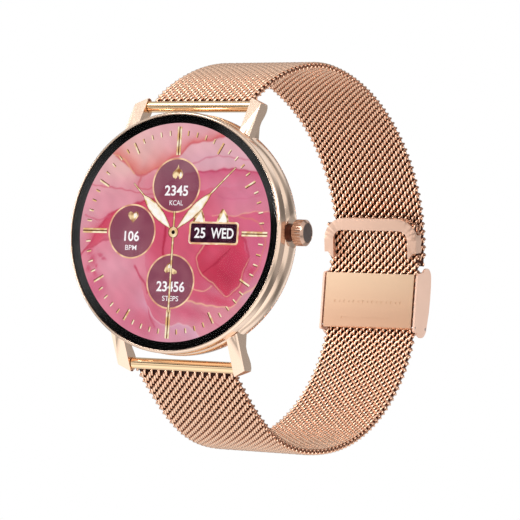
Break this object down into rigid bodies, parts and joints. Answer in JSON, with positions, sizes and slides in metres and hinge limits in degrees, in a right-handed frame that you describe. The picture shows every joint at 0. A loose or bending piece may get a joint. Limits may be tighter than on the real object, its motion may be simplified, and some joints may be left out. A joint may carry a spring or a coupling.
{
  "type": "smartwatch",
  "caption": "Round touch-screen watch with a fluted push crown on a closed woven-mesh metal band with a sliding fold-over clasp.",
  "frame": {"origin": "centre of the flat wrist face in the middle of the case back", "axes": "+Y from the dial towards the wrist, square to the wrist face and along the loop's depth; +Z towards twelve o'clock; +X towards the crown"},
  "size_m": [0.0435, 0.0836, 0.07],
  "materials": {
    "glass": "polished clear glass with a rounded edge",
    "black_print": "black border printed under the glass",
    "display": "lit round display",
    "seal_rubber": "matt black seal",
    "champagne_metal": "polished champagne gold plating",
    "copper_metal": "polished copper plating",
    "back_plastic": "fine matt dark plastic",
    "steel": "turned steel",
    "dark_window": "dark polished window",
    "board": "green circuit board",
    "bright_gold": "mirror-polished gold plating",
    "frame_plastic": "black glass-filled plastic",
    "chip_plastic": "black chip packages",
    "flex": "amber flexible circuit",
    "battery_foil": "silver pouch foil",
    "dark_disc": "dark polished end disc",
    "rose_mesh": "woven steel wire with rose gold plating",
    "rose_metal": "satin rose gold plating",
    "satin_plate": "fine satin rose gold plating"
  },
  "bodies": {
    "case": {"cover_glass": "glass", "glass_border": "black_print", "display_panel": "display", "glass_seal": "seal_rubber", "bezel_ring": "champagne_metal", "accent_ring": "copper_metal", "mid_case": "champagne_metal", "case_back": "back_plastic", "back_gasket": "seal_rubber", "back_screws": "steel", "sensor_window": "dark_window", "sensor_module": "board", "charging_pads": "bright_gold", "inner_frame": "frame_plastic", "main_board": "board", "board_chips": "chip_plastic", "display_flex": "flex", "battery": "battery_foil", "vibration_motor": "steel", "crown_tube": "copper_metal", "crown_o_ring": "seal_rubber", "crown_switch": "frame_plastic", "spring_bar_top": "steel", "spring_bar_bottom": "steel"},
    "crown_slider": {"crown_stem": "steel"},
    "crown": {"crown_cap": "champagne_metal", "crown_end_disc": "dark_disc"},
    "upper_band": {"strap_tube_top": "bright_gold", "upper_mesh": "rose_mesh", "strap_tongue": "rose_metal", "latch_bar": "bright_gold"},
    "lower_band": {"strap_tube_bottom": "bright_gold", "lower_mesh": "rose_mesh", "tail_tip": "rose_metal", "clasp_base": "rose_metal", "lock_plate_pin": "steel", "clasp_cover_pin": "steel"},
    "lock_plate": {"clasp_lock_plate": "satin_plate"},
    "cover": {"clasp_cover": "rose_metal"}
  },
  "joints": [
    {"name": "crown_push", "type": "slide", "parent": "case", "child": "crown_slider", "axis": [-1, 0, 0], "range_m": [0, 0.0004], "stiffness_N_per_m": 600},
    {"name": "crown_turn", "type": "hinge", "parent": "crown_slider", "child": "crown", "pos_m": [0.022, -0.0055, 0.00075], "axis": [1, 0, 0], "continuous": true},
    {"name": "band_open", "type": "hinge", "parent": "case", "child": "upper_band", "pos_m": [0, -0.00345, 0.022], "axis": [1, 0, 0], "range_deg": [0, 12]},
    {"name": "band_follow", "type": "hinge", "parent": "case", "child": "lower_band", "pos_m": [0, -0.00345, -0.022], "axis": [1, 0, 0], "range_deg": [-6, 0]},
    {"name": "cover_open", "type": "hinge", "parent": "lower_band", "child": "cover", "pos_m": [0, 0.07142, -0.01108], "axis": [1, 0, 0], "range_deg": [-120, 0]},
    {"name": "lock_plate_open", "type": "hinge", "parent": "lower_band", "child": "lock_plate", "pos_m": [0, 0.06677, -0.01106], "axis": [1, 0, 0], "range_deg": [0, 80]}
  ],
  "couplings": [
    {"joint": "band_follow", "follows": "band_open", "ratio": -0.5},
    {"joint": "cover_open", "follows": "band_open", "ratio": -10}
  ]
}
